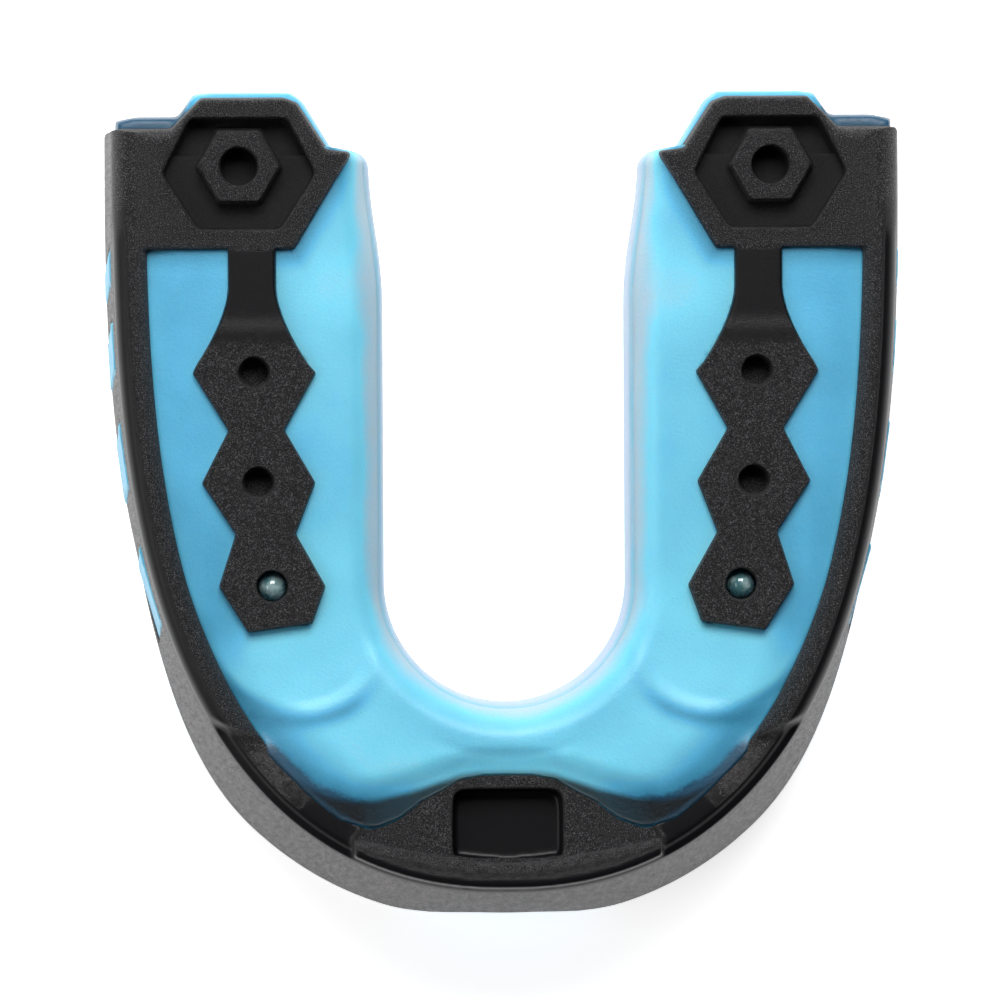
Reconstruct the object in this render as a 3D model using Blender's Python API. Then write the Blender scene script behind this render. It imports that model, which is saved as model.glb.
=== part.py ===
"""Sports mouthguard: a black elastomer frame, a soft gel pad, a fit liner and two traction strips.

Metres, +Z up out of the bite side, so the guard stands on the rims of its walls. The front teeth
are at -Y and the heels at +Y, and the guard is mirrored about X = 0. Walls and layers are lofts
of one cross-section, swept round the dental arch. A section's points are (d, z): d is the
distance inward from the bite edge, and z the height above the rims.
"""

import math
from collections import namedtuple

import bmesh
import bpy
import numpy as np
from mathutils import Matrix

MM = 0.001
GAP = 0.3 * MM  # clearance between neighbouring pieces

# The bite edge is |x / EDGE_HALF|^EDGE_P + t^EDGE_Q = 1, t being 0 at the rear and 1 in front.
EDGE_HALF = 31.5 * MM
EDGE_REAR = 30.2 * MM
EDGE_FRONT = -31.15 * MM
EDGE_P = 2.25
EDGE_Q = 3.0

# The inner edge is a half circle with two legs, which spread a little at the heels.
ARCH_Y = -6.2 * MM
INNER_HALF = 9.6 * MM
INNER_SPREAD = 1.1 * MM
HEEL_SLANT = 3.2 * MM  # how far the inner end of a heel lies ahead of its outer end
HEEL_FROM_Y = 16.0 * MM
LINER_REAR = 30.9 * MM

# Heights above the rims.
EDGE_Z = 18.3 * MM
CREST_Z = 20.0 * MM
FRONT_Z = 18.9 * MM
FLOOR_Z = 14.4 * MM
LINER_Z = 16.0 * MM
PAD_BASE_Z = LINER_Z + GAP
PAD_Z = 19.0 * MM
LINGUAL_RIM_Z = 6.0 * MM

# Wall and layer thicknesses.
WALL = 1.6 * MM
LABIAL_LINER = 2.3 * MM
LINGUAL_WALL = 3.0 * MM
LINGUAL_LIP = 0.9 * MM
BAND = 2.8 * MM

# Lean of the labial wall: the rim stands this far outside the bite edge.
LEAN_SIDE = 1.1 * MM
LEAN_FRONT = 3.3 * MM
WALL_BULGE = 0.25 * MM

# Rim shape, by distance along the bite edge from the midline.
FRENUM = (6.5 * MM, 9.0 * MM)  # notch height, and where it ends
BUCCAL = (2.4 * MM, 22.0 * MM, 48.0 * MM)  # relief height, start and end
HEEL_RISE = (4.0 * MM, 5.5 * MM)  # rim's rise at the rear, and over what length

# Heel blocks, on the right-hand side: a hexagonal recess round a hexagonal boss.
HEEL_PLAN = (  # in mm, from the front edge's inner end to the outer rear corner
    (17.1, 20.2),
    (12.8, 27.9),
    (14.5, 28.4),
    (16.5, 31.6),
    (17.5, 32.5),
    (24.5, 32.5),
    (25.6, 31.8),
    (26.9, 29.6),
)
HEEL_WALL_Y = 29.4 * MM  # where the block meets the labial wall
HEEL_WALL_INSET = 0.6 * MM
HEEL_TOP_Z = 19.9 * MM
HEEL_X = 21.3 * MM
BOSS_Y = 27.0 * MM
BOSS_BASE_R = 3.85 * MM
BOSS_TOP_R = 3.2 * MM
BOSS_TOP_Z = 20.3 * MM
BOSS_HOLE_R = 1.5 * MM
RECESS_Y = 26.55 * MM
RECESS_HALF = (6.2 * MM, 4.6 * MM)
RECESS_FLATS = (3.9 * MM, 3.3 * MM)  # half lengths of its rear and front edges
RECESS_FLOOR_Z = 18.0 * MM
INSERT_Z = 18.7 * MM
INSERT_BASE_Z = 17.4 * MM
INSERT_POCKET_Z = INSERT_BASE_Z - GAP
WEB_Z = 18.2 * MM
ABOVE = 25.0 * MM  # where cutters end, clear above every piece

# Traction strips: centre, half width and half length of each hexagon, heel end first.
NECK_HALF = 1.9 * MM
NECK_X = 20.3 * MM
NECK_TOP_Y = 20.2 * MM
NECK_FLARE_Y = 16.4 * MM
HEXES = (
    (20.15 * MM, 10.6 * MM, 4.9 * MM),
    (19.85 * MM, 1.8 * MM, 4.5 * MM),
    (18.8 * MM, -6.5 * MM, 4.2 * MM),
)
WAISTS = ((20.0 * MM, 6.0 * MM, 2.2 * MM), (19.3 * MM, -2.3 * MM, 2.35 * MM))
STRIP_END = (18.3 * MM, -10.2 * MM, 2.4 * MM)
STRIP_HOLE_R = 1.2 * MM
BLIND_DEPTH = 1.8 * MM

# The liner's tongue under a heel block, in mm.
TONGUE_PLAN = (
    (28.0, 24.0),
    (28.0, 30.7),
    (27.1, 30.8),
    (25.4, 33.1),
    (16.4, 33.1),
    (14.8, 31.5),
    (13.9, 28.9),
    (13.6, 24.0),
)

# Front floor with the blind tether port, and the ridge in front of it.
PAD_CURVE = (  # in mm, rear edge of the right half of the front floor
    (19.4, -19.4),
    (16.6, -22.6),
    (14.2, -24.4),
    (10.8, -25.9),
    (8.6, -25.3),
    (4.2, -22.2),
)
FLOOR_TOP_Z = 18.75 * MM
PORT_HALF = 4.5 * MM
PORT_Y = (-28.6 * MM, -22.9 * MM)
PORT_FLOOR_Z = 16.9 * MM
PORT_CORNER = 1.0 * MM
RIDGE_HALF_DEG = 30.0
RIDGE_WIDTH = 2.8 * MM
RIDGE_Z = 19.8 * MM

# Windows through the labial wall on each side: places, half widths, heights and slant.
WINDOW_Y = (18.6 * MM, 12.2 * MM, 3.5 * MM, -7.0 * MM)
WINDOW_HALF = (1.5 * MM, 2.1 * MM, 2.7 * MM, 3.3 * MM)
WINDOW_Z = (5.5 * MM, 15.2 * MM)
WINDOW_SLANT = 1.6 * MM
WINDOW_PAD_D = -0.4 * MM  # outer face of the pads that fill them, which lean with the wall
WINDOW_PAD_TILT = 0.65 * MM

Station = namedtuple("Station", "x y nx ny width along")


def smooth(value):
    """Eases from 0 to 1 as value goes from 0 to 1."""
    v = min(max(value, 0.0), 1.0)
    return v * v * (3.0 - 2.0 * v)


def edge_half(y):
    """Half width of the bite edge at y."""
    t = min(max((EDGE_REAR - y) / (EDGE_REAR - EDGE_FRONT), 0.0), 1.0)
    return EDGE_HALF * (1.0 - t**EDGE_Q) ** (1.0 / EDGE_P)


def edge_radius(angle):
    """Distance from the arch's centre to the bite edge, at an angle ahead of sideways."""
    near, far = INNER_HALF, 2.0 * EDGE_HALF
    for _ in range(50):
        middle = (near + far) / 2.0
        y = ARCH_Y - middle * math.sin(angle)
        inside = y > EDGE_FRONT and middle * math.cos(angle) < edge_half(y)
        near, far = (middle, far) if inside else (near, middle)
    return near


def leg_line(y):
    """Ends of the section line that starts on the bite edge of the right leg at y."""
    share = smooth((y - HEEL_FROM_Y) / (LINER_REAR - HEEL_FROM_Y))
    return (edge_half(y), y), (INNER_HALF + INNER_SPREAD * share, y - HEEL_SLANT * share)


def front_line(angle):
    """Ends of the section line at an angle ahead of sideways, on the right half."""
    c, s = math.cos(angle), math.sin(angle)
    r = edge_radius(angle)
    return (r * c, ARCH_Y - r * s), (INNER_HALF * c, ARCH_Y - INNER_HALF * s)


def arch(rear, leg_steps, front_steps):
    """Stations round the arch from the right heel to the left one."""
    right = [leg_line(y) for y in np.linspace(rear, ARCH_Y, leg_steps, endpoint=False)]
    right += [front_line(a) for a in np.linspace(0.0, math.pi / 2.0, front_steps + 1)]
    found, along = [], 0.0
    last = None
    for (x, y), (xi, yi) in reversed(right):
        if last:
            along += math.hypot(x - last[0], y - last[1])
        last = (x, y)
        width = math.hypot(xi - x, yi - y)
        found.append(Station(x, y, (xi - x) / width, (yi - y) / width, width, along))
    left = [s._replace(x=-s.x, nx=-s.nx) for s in found[1:]]
    return found[::-1] + left


def lean(station):
    """How far the rim stands outside the bite edge."""
    front = smooth((45.0 * MM - station.along) / (25.0 * MM))
    return LEAN_SIDE + (LEAN_FRONT - LEAN_SIDE) * front


def rim_z(station):
    """Height of the labial rim, with its notches."""
    a = station.along
    notch = FRENUM[0] * (1.0 - smooth((a - 1.5 * MM) / (FRENUM[1] - 1.5 * MM)))
    middle = (BUCCAL[1] + BUCCAL[2]) / 2.0
    relief = BUCCAL[0] * smooth(1.0 - abs(a - middle) / (BUCCAL[2] - middle))
    rear = HEEL_RISE[0] * (1.0 - smooth((EDGE_REAR - station.y) / HEEL_RISE[1]))
    return notch + relief + rear


def wall_d(station, z):
    """The labial wall's outer face at height z."""
    share = 1.0 - z / EDGE_Z
    return -lean(station) * share - WALL_BULGE * math.sin(math.pi * share)


def crest_z(station):
    """Top of the bite-side band: high along the legs, low round the front."""
    return FRONT_Z + (CREST_Z - FRONT_Z) * smooth((station.along - 26.0 * MM) / (3.0 * MM))


def frame_section(s):
    """Labial wall with the band that caps it."""
    rim, crest = rim_z(s), crest_z(s)
    heights = [rim + (EDGE_Z - rim) * k for k in (0.02, 0.35, 0.7)]
    outer = [(wall_d(s, z), z) for z in heights]
    inner = [(wall_d(s, z) + WALL, z) for z in heights]
    top = [
        (0.0, EDGE_Z),
        (0.35 * MM, crest - 0.5 * MM),
        (1.1 * MM, crest),
        (1.8 * MM, crest - 0.25 * MM),
        (BAND, 18.5 * MM),
        (BAND, 17.2 * MM),
        (wall_d(s, PAD_BASE_Z) + WALL, PAD_BASE_Z),
    ]
    foot = [(wall_d(s, rim) + WALL - 0.35 * MM, rim), (wall_d(s, rim) + 0.35 * MM, rim)]
    return outer + top + inner[::-1] + foot


def pad_section(s):
    """Gel cushion on the bite side."""
    inner = s.width - LINGUAL_LIP - GAP
    outer = BAND + GAP
    return [
        (outer, PAD_BASE_Z),
        (outer, PAD_Z - 0.5 * MM),
        (outer + 1.2 * MM, PAD_Z),
        (0.5 * (inner + outer), PAD_Z - 0.3 * MM),
        (inner - 2.2 * MM, PAD_Z + 0.2 * MM),
        (inner - 0.8 * MM, PAD_Z),
        (inner, PAD_Z - 0.8 * MM),
        (inner, PAD_BASE_Z),
    ]


def lingual_rim_z(s):
    """Height of the lingual rim, which rises at the heels."""
    return LINGUAL_RIM_Z + 3.0 * MM * smooth((s.y - 20.0 * MM) / (10.0 * MM))


def liner_section(s):
    """Trough round the teeth: labial layer, floor and lingual wall."""
    w = s.width
    rim = rim_z(s) + 0.9 * MM
    back = lingual_rim_z(s)
    outside = [(z, wall_d(s, z) + WALL + GAP) for z in (rim + 0.3 * MM, 9.0 * MM, LINER_Z)]
    inside = [(z, d + LABIAL_LINER) for z, d in outside]
    inside[2] = (12.6 * MM, inside[2][1])
    lip = w - LINGUAL_LIP
    points = [(d, z) for z, d in outside]
    points += [
        (lip, LINER_Z),
        (lip, 18.0 * MM),
        (w - 0.45 * MM, 18.3 * MM),
        (w, 17.6 * MM),
        (w + 0.3 * MM, 12.0 * MM),
        (w, back + 0.8 * MM),
        (w - 0.8 * MM, back),
        (w - 1.8 * MM, back + 0.5 * MM),
        (w - LINGUAL_WALL, 12.0 * MM),
        (w - LINGUAL_WALL - 1.6 * MM, FLOOR_Z),
        (inside[2][0] - 12.6 * MM + 5.4 * MM, FLOOR_Z),
    ]
    points += [(d, z) for z, d in inside[::-1]]
    points.append((outside[0][1] + 0.6 * LABIAL_LINER, rim - 0.15 * MM))
    return points


def new_object(name, mesh, coll):
    """Links a mesh as an object and returns it."""
    found = bpy.data.objects.new(name, mesh)
    coll.objects.link(found)
    return found


def closed_object(name, bm, coll):
    """Makes an object of a closed mesh, with its faces pointing out."""
    bm.normal_update()
    bmesh.ops.recalc_face_normals(bm, faces=bm.faces)
    if bm.calc_volume(signed=True) < 0.0:
        bmesh.ops.reverse_faces(bm, faces=bm.faces)
    mesh = bpy.data.meshes.new(name)
    bm.to_mesh(mesh)
    bm.free()
    return new_object(name, mesh, coll)


def loft(name, stations, section, coll):
    """Solid swept through the stations, whose sections all have the same number of points."""
    bm = bmesh.new()
    rings = []
    for s in stations:
        ring = [bm.verts.new((s.x + s.nx * d, s.y + s.ny * d, z)) for d, z in section(s)]
        rings.append(ring)
    count = len(rings[0])
    for a, b in zip(rings, rings[1:]):
        for i in range(count):
            j = (i + 1) % count
            bm.faces.new((a[i], b[i], b[j], a[j]))
    bm.faces.new(rings[0])
    bm.faces.new(rings[-1][::-1])
    return closed_object(name, bm, coll)


def plate(name, outline, low, high, coll, side=1):
    """Flat outline between two heights, mirrored across X = 0 where side is -1."""
    curve = bpy.data.curves.new(name, "CURVE")
    curve.dimensions = "2D"
    curve.fill_mode = "BOTH"
    curve.extrude = (high - low) / 2.0
    spline = curve.splines.new("POLY")
    spline.points.add(len(outline) - 1)
    for point, (x, y) in zip(spline.points, outline):
        point.co = (side * x, y, 0.0, 1.0)
    spline.use_cyclic_u = True
    source = new_object(name + "_curve", curve, coll)
    source.location.z = (low + high) / 2.0
    bpy.context.view_layer.update()
    ready = source.evaluated_get(bpy.context.evaluated_depsgraph_get())
    bm = bmesh.new()
    bm.from_mesh(bpy.data.meshes.new_from_object(ready))
    bmesh.ops.remove_doubles(bm, verts=bm.verts, dist=0.001 * MM)
    found = closed_object(name, bm, coll)
    found.matrix_world = source.matrix_world
    bpy.data.objects.remove(source)
    return found


def peg(name, x, y, radii, heights, sides, coll, turn=0.0):
    """Upright cone or cylinder from a base radius and height to a top one."""
    bm = bmesh.new()
    bmesh.ops.create_cone(
        bm,
        cap_ends=True,
        segments=sides,
        radius1=radii[0],
        radius2=radii[1],
        depth=heights[1] - heights[0],
        matrix=Matrix.Rotation(turn, 4, "Z"),
    )
    found = closed_object(name, bm, coll)
    found.location = (x, y, (heights[0] + heights[1]) / 2.0)
    return found


def slab(name, point, inward, half, heights, depths, slant, tilt, coll):
    """Box square to a wall at a point, its top shifted along the wall by slant and in by tilt."""
    tangent = (-inward[1], inward[0])
    bm = bmesh.new()
    bmesh.ops.create_cube(bm, size=1.0)
    for v in bm.verts:
        t = 2.0 * half * v.co.x + slant * v.co.z
        d = depths[0] + (depths[1] - depths[0]) * (v.co.y + 0.5) + tilt * v.co.z
        z = heights[0] + (heights[1] - heights[0]) * (v.co.z + 0.5)
        x = point[0] + tangent[0] * t + inward[0] * d
        v.co = (x, point[1] + tangent[1] * t + inward[1] * d, z)
    return closed_object(name, bm, coll)


def combine(target, other, operation):
    """Adds a Boolean of the other object, which becomes a hidden guide."""
    change = target.modifiers.new(other.name, "BOOLEAN")
    change.operation = operation
    change.object = other
    change.solver = "EXACT"
    other.hide_render = True
    other.display_type = "WIRE"


def grown(outline, by):
    """A closed outline with every edge moved outward by a distance."""
    pts = [np.array(p) for p in outline]
    area = sum(a[0] * b[1] - b[0] * a[1] for a, b in zip(pts, pts[1:] + pts[:1]))
    turn = 1.0 if area > 0 else -1.0
    found = []
    for before, here, after in zip(pts[-1:] + pts[:-1], pts, pts[1:] + pts[:1]):
        u = (here - before) / np.linalg.norm(here - before)
        v = (after - here) / np.linalg.norm(after - here)
        nu = turn * np.array((u[1], -u[0]))
        nv = turn * np.array((v[1], -v[0]))
        found.append(tuple(here + by * (nu + nv) / (1.0 + float(nu @ nv))))
    return found


def heel_outline():
    """Plan of a right-hand heel block, from its front edge round by the tongue side."""
    outline = [(x * MM, y * MM) for x, y in HEEL_PLAN]
    wall_ys = np.linspace(HEEL_WALL_Y, NECK_TOP_Y, 5)
    return outline + [(edge_half(y) - HEEL_WALL_INSET, y) for y in wall_ys]


def recess_outline(by=0.0):
    """Hexagonal recess in a right-hand heel block."""
    half, tall = RECESS_HALF
    rear, front = RECESS_FLATS
    shape = [(half, 0), (rear, tall), (-rear, tall), (-half, 0), (-front, -tall), (front, -tall)]
    return grown([(HEEL_X + x, RECESS_Y + y) for x, y in shape], by)


def insert_outline(by=0.0):
    """Front part of the recess, which the strip's plate fills, with its collar round the boss."""
    half, tall = RECESS_HALF
    collar = BOSS_BASE_R + 0.35 * MM
    line = BOSS_Y + 0.6 * MM
    rear, front = RECESS_FLATS
    inset = GAP + 0.2 * MM
    edge = half - (half - rear) * (line - RECESS_Y) / tall - inset
    foot = (collar + 0.9 * MM, line)
    shape = [(HEEL_X + edge, line), (HEEL_X + foot[0], line)]
    for degrees in (40.0, 62.0, 118.0, 140.0):
        a = math.radians(degrees)
        shape.append((HEEL_X + collar * math.cos(a), BOSS_Y + collar * math.sin(a)))
    shape += [(HEEL_X - foot[0], line), (HEEL_X - edge, line)]
    low = RECESS_Y - tall + inset
    shape += [(HEEL_X - half + inset, RECESS_Y), (HEEL_X - front, low)]
    shape += [(HEEL_X + front, low), (HEEL_X + half - inset, RECESS_Y)]
    return grown(shape, by)


def strip_outline(by=0.0):
    """Neck and chain of three hexagons."""
    left, right = [], []

    def both(x, y, half):
        left.append((x - half, y))
        right.append((x + half, y))

    both(NECK_X, NECK_TOP_Y - GAP, NECK_HALF)
    both(NECK_X, NECK_FLARE_Y, NECK_HALF)
    for share in (0.35, 0.65, 0.85):
        y = NECK_FLARE_Y + (HEXES[0][1] - NECK_FLARE_Y) * share
        both(NECK_X, y, NECK_HALF + (HEXES[0][2] - NECK_HALF) * share**2)
    for (x, y, half), waist in zip(HEXES, WAISTS + (STRIP_END,)):
        both(x, y, half)
        both(*waist)
    return grown(left + right[::-1], by)


def front_outline(by=0.0):
    """Front floor of the frame, between the band and the gel."""
    rear = [(x * MM, y * MM) for x, y in PAD_CURVE]
    rear = rear + [(-x, y) for x, y in rear[::-1]]
    front = []
    for degrees in range(142, 30, -8):
        r = edge_radius(math.radians(min(degrees, 180 - degrees))) - 1.2 * MM
        a = math.radians(degrees)
        front.append((r * math.cos(a), ARCH_Y - r * math.sin(a)))
    return grown(rear + front, by)


def port_outline():
    """Tether port, with rounded rear corners."""
    low, high = PORT_Y
    corner = []
    for degrees in (0, 30, 60, 90):
        a = math.radians(degrees)
        x = PORT_HALF - PORT_CORNER * (1.0 - math.cos(a))
        corner.append((x, high - PORT_CORNER * (1.0 - math.sin(a))))
    left = [(-x, y) for x, y in corner[::-1]]
    return [(PORT_HALF, low)] + corner + left + [(-PORT_HALF, low)]


def ridge_outline():
    """Raised plate along the front of the band."""
    outer, inner = [], []
    for degrees in np.linspace(90.0 - RIDGE_HALF_DEG, 90.0 + RIDGE_HALF_DEG, 9):
        a = math.radians(degrees)
        r = edge_radius(min(a, math.pi - a))
        for points, inset in ((outer, 0.5 * MM), (inner, RIDGE_WIDTH)):
            points.append(((r - inset) * math.cos(a), ARCH_Y - (r - inset) * math.sin(a)))
    return outer + inner[::-1]


def windows(name, grow, depths, tilt, coll):
    """Slanted boxes across the labial wall, one at each window on both sides."""
    heights = (WINDOW_Z[0] - grow, WINDOW_Z[1] + grow)
    found = []
    for side, word in ((1, "right"), (-1, "left")):
        for i, (y, half) in enumerate(zip(WINDOW_Y, WINDOW_HALF)):
            slope = (edge_half(y + MM) - edge_half(y - MM)) / (2.0 * MM)
            length = math.hypot(1.0, slope)
            inward = (-side / length, slope / length)
            point = (side * edge_half(y), y)
            slant = -side * WINDOW_SLANT
            label = f"{name}_{word}_{i}"
            found.append(slab(label, point, inward, half + grow, heights, depths, slant, tilt, coll))
    return found


def material(name, colour, roughness, alpha=1.0):
    """Plain Principled material."""
    found = bpy.data.materials.new(name)
    found.use_nodes = True
    node = found.node_tree.nodes["Principled BSDF"]
    node.inputs["Base Color"].default_value = (*colour, 1.0)
    node.inputs["Roughness"].default_value = roughness
    node.inputs["Metallic"].default_value = 0.0
    node.inputs["Alpha"].default_value = alpha
    return found


def make_frame(parts, cutters, finish):
    """Black exoskeleton: labial wall, band, heel blocks, front floor and ridge."""
    frame = loft("shock_frame", arch(EDGE_REAR, 10, 14), frame_section, parts)
    frame.data.materials.append(finish)
    for side, word in ((1, "right"), (-1, "left")):
        block = plate("heel_" + word, heel_outline(), PAD_BASE_Z, HEEL_TOP_Z, cutters, side)
        combine(frame, block, "UNION")
    floor = plate("front_floor", front_outline(), PAD_BASE_Z + 0.1 * MM, FLOOR_TOP_Z, cutters)
    combine(frame, floor, "UNION")
    ridge = plate("front_ridge", ridge_outline(), 17.0 * MM, RIDGE_Z, cutters)
    combine(frame, ridge, "UNION")
    port = plate("port", port_outline(), PORT_FLOOR_Z, ABOVE, cutters)
    combine(frame, port, "DIFFERENCE")
    for side, word in ((1, "right"), (-1, "left")):
        recess = plate("recess_" + word, recess_outline(), RECESS_FLOOR_Z, ABOVE, cutters, side)
        combine(frame, recess, "DIFFERENCE")
        pocket = plate(
            "insert_pocket_" + word, insert_outline(GAP), INSERT_POCKET_Z, 19.0 * MM, cutters, side
        )
        combine(frame, pocket, "DIFFERENCE")
        web = [(-1, 18.0 * MM), (1, 18.0 * MM), (1, RECESS_Y), (-1, RECESS_Y)]
        web = [(NECK_X + k * (NECK_HALF + GAP), y) for k, y in web]
        slot = plate("web_slot_" + word, web, INSERT_POCKET_Z, WEB_Z + GAP, cutters, side)
        combine(frame, slot, "DIFFERENCE")
    for cutter in windows("window", 0.0, (-4.0 * MM, WALL + 1.5 * MM), 0.0, cutters):
        combine(frame, cutter, "DIFFERENCE")


def make_strip(side, word, parts, cutters, finish):
    """Traction strip: hexagon chain, neck, web under the heel's front bar, plate and boss."""
    strip = plate("bite_strip_" + word, strip_outline(), INSERT_BASE_Z, CREST_Z, parts, side)
    strip.data.materials.append(finish)
    web = [(-1, 18.6 * MM), (1, 18.6 * MM), (1, RECESS_Y - 2.0 * MM), (-1, RECESS_Y - 2.0 * MM)]
    web = [(NECK_X + k * NECK_HALF * 0.98, y) for k, y in web]
    combine(strip, plate("web_" + word, web, INSERT_BASE_Z + 0.02 * MM, WEB_Z, cutters, side), "UNION")
    base = plate("insert_" + word, insert_outline(), INSERT_BASE_Z + 0.01 * MM, INSERT_Z, cutters, side)
    combine(strip, base, "UNION")
    boss_z = (INSERT_Z - 0.6 * MM, BOSS_TOP_Z)
    radii = (BOSS_BASE_R, BOSS_TOP_R)
    boss = peg("boss_" + word, side * HEEL_X, BOSS_Y, radii, boss_z, 6, cutters, math.pi / 2)
    combine(strip, boss, "UNION")
    holes = [(HEEL_X, BOSS_Y, BOSS_HOLE_R, INSERT_Z - 0.4 * MM)]
    for i, (x, y, _) in enumerate(HEXES):
        through = i == len(HEXES) - 1
        holes.append((x, y, STRIP_HOLE_R, INSERT_BASE_Z - MM if through else CREST_Z - BLIND_DEPTH))
    for i, (x, y, r, low) in enumerate(holes):
        hole = peg(f"hole_{word}_{i}", side * x, y, (r, r), (low, ABOVE), 24, cutters)
        combine(strip, hole, "DIFFERENCE")


def make_pad(parts, cutters, finish):
    """Gel cushion, pocketed for the strips, the heel blocks and the front floor."""
    pad = loft("gel_pad", arch(LINER_REAR, 10, 14), pad_section, parts)
    pad.data.materials.append(finish)
    deep, high = PAD_BASE_Z - MM, ABOVE
    front = plate("pad_front", front_outline(GAP), deep, high, cutters)
    combine(pad, front, "DIFFERENCE")
    for side, word in ((1, "right"), (-1, "left")):
        heel = [(x, y + 6.0 * MM) if y > 30.0 * MM else (x, y) for x, y in heel_outline()]
        heel = [(x + 5.0 * MM, y) if x > 24.0 * MM else (x, y) for x, y in heel]
        combine(pad, plate("pad_heel_" + word, grown(heel, GAP), deep, high, cutters, side), "DIFFERENCE")
        pocket = plate("pad_strip_" + word, strip_outline(GAP), INSERT_POCKET_Z, high, cutters, side)
        combine(pad, pocket, "DIFFERENCE")


def make_liner(parts, cutters, finish):
    """Fit liner: a trough with heel tongues and pads that fill the wall's windows."""
    liner = loft("fit_liner", arch(LINER_REAR, 10, 14), liner_section, parts)
    liner.data.materials.append(finish)
    tongue = [(x * MM, y * MM) for x, y in TONGUE_PLAN]
    for side, word in ((1, "right"), (-1, "left")):
        block = plate("tongue_" + word, tongue, FLOOR_Z + 0.1 * MM, LINER_Z - 0.05 * MM, cutters, side)
        combine(liner, block, "UNION")
    for block in windows("window_pad", -GAP, (WINDOW_PAD_D, WALL + MM), WINDOW_PAD_TILT, cutters):
        combine(liner, block, "UNION")


def main():
    for old in list(bpy.data.objects):
        bpy.data.objects.remove(old)
    parts = bpy.data.collections.new("mouthguard")
    cutters = bpy.data.collections.new("cutters")
    bpy.context.scene.collection.children.link(parts)
    bpy.context.scene.collection.children.link(cutters)
    black = material("frame_rubber", (0.012, 0.012, 0.014), 0.5)
    strip_black = material("strip_rubber", (0.010, 0.010, 0.012), 0.6)
    blue = material("gel_blue", (0.16, 0.60, 0.78), 0.3, 0.9)
    pale = material("liner_gel", (0.45, 0.72, 0.88), 0.3, 0.9)
    make_frame(parts, cutters, black)
    make_pad(parts, cutters, blue)
    make_liner(parts, cutters, pale)
    for side, word in ((1, "right"), (-1, "left")):
        make_strip(side, word, parts, cutters, strip_black)


main()
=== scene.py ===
"""Looks of the mouthguard: moulded black rubber frame, translucent blue gel, and studio stage.

Metres, +Z up out of the bite side, front teeth at -Y, heels at +Y. A profile's points are (d, z):
d is the distance inward from the bite edge, and z the height above the rims.
"""

import math
from types import SimpleNamespace

import bmesh
import bpy
import numpy as np
from mathutils import Matrix, Vector


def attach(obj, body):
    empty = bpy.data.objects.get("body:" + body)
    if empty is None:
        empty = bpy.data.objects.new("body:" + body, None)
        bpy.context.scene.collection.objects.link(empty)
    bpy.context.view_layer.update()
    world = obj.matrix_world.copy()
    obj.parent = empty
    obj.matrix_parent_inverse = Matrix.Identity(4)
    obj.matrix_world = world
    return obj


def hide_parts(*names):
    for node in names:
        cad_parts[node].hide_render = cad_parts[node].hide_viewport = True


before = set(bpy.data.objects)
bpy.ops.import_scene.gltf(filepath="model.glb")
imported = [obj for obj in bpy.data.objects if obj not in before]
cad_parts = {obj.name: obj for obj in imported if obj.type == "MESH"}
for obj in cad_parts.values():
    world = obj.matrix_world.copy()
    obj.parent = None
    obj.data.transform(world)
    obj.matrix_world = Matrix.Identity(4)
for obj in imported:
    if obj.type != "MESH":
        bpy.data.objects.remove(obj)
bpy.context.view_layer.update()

MM = 0.001

# Bite edge and inner edge, as on the CAD solids.
EDGE_HALF = 31.5 * MM
EDGE_REAR = 30.2 * MM
EDGE_FRONT = -31.15 * MM
EDGE_P = 2.25
EDGE_Q = 3.0
ARCH_Y = -6.2 * MM
INNER_HALF = 9.6 * MM
INNER_SPREAD = 1.1 * MM
HEEL_SLANT = 2.6 * MM
HEEL_FROM_Y = 16.0 * MM
LINER_REAR = 30.9 * MM
CORNER_R = 1.1 * MM

EDGE_Z = 18.3 * MM
CREST_Z = 20.0 * MM
FRONT_Z = 18.9 * MM
FLOOR_TOP_Z = 18.75 * MM
FLOOR_Z = 14.4 * MM
LINER_Z = 16.1 * MM
PAD_Z = 19.0 * MM
LINGUAL_RIM_Z = 6.0 * MM
LINGUAL_INSET = 0.35 * MM
TONGUE_Z = 17.7 * MM
FLASH_Z = 17.4 * MM
BAND_UNDER_Z = 16.2 * MM

WALL = 1.6 * MM
LABIAL_LINER = 2.5 * MM
LINGUAL_WALL = 3.0 * MM
BAND = 2.8 * MM

LEAN_SIDE = 1.1 * MM
LEAN_FRONT = 3.3 * MM
WALL_BULGE = 0.25 * MM
FRENUM = (6.5 * MM, 9.0 * MM)
BUCCAL = (2.4 * MM, 22.0 * MM, 48.0 * MM)
HEEL_RISE = (4.0 * MM, 5.5 * MM)

HEEL_X = 21.3 * MM
RECESS_Y = 26.55 * MM
BOSS_Y = 27.1 * MM
BOSS_TOP_Z = 20.3 * MM
BOSS_R = 3.2 * MM
BOSS_HOLE_R = 1.5 * MM
BOSS_HOLE_Z = 17.9 * MM
INSERT_Z = 18.7 * MM
RECESS_Z = 18.0 * MM
HEEL_TOP_Z = 19.9 * MM
BLOCK_BASE_Z = 16.3 * MM
BOSS_DRAFT = 5.0
HEEL_CUT_Z = 10.0 * MM
CHAIN_CUT_Z = 17.4 * MM
CUT_TOP_Z = 24.0 * MM
BASIN_DEPTH = 0.25 * MM
BASIN_CENTRE = (17.0 * MM, -10.5 * MM)
BASIN_REACH = (7.0 * MM, 5.9 * MM)
WALL_DRAFT = 12.0  # fall of a block's walls for each unit outward

BAND_END_DEG = (24.8, 33.2)  # where the raised band ends, at its outer and its inner edge
VALLEY_DEG = (46.0, 60.0)
RIDGE_Z = 19.8 * MM
RIDGE_HALF = 12.35 * MM
PORT_HALF = 4.45 * MM
PORT_Y = (-29.2 * MM, -22.85 * MM)
PORT_Z = 16.95 * MM

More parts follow.
